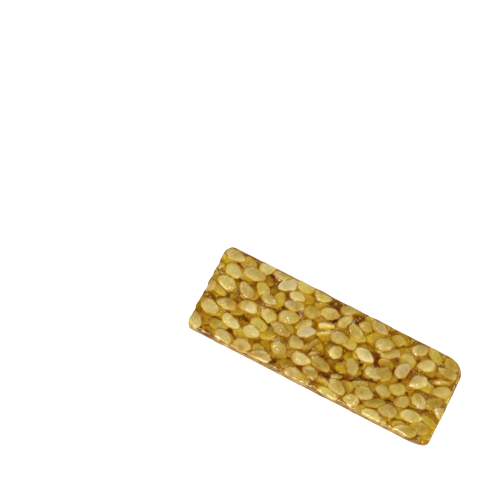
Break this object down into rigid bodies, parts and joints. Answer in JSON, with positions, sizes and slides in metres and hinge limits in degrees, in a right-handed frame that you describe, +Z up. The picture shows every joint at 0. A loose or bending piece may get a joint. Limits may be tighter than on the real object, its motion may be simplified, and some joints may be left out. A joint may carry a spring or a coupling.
{
  "type": "sesame candy",
  "caption": "Small flat bar of clear amber caramel packed with hulled sesame seeds, rounded corners and seeds standing slightly proud.",
  "frame": {"origin": "under the middle of the bar, on the surface that it lies on", "axes": "+X along the bar's length, towards the end with the broadly rounded corner; +Y across the bar, towards that corner's side; +Z up through its thickness"},
  "size_m": [0.045, 0.0154, 0.0046],
  "materials": {
    "caramel": "gloss",
    "sesame_seed": "satin"
  },
  "bodies": {
    "root": {"candy_bar": "caramel"}
  },
  "joints": []
}
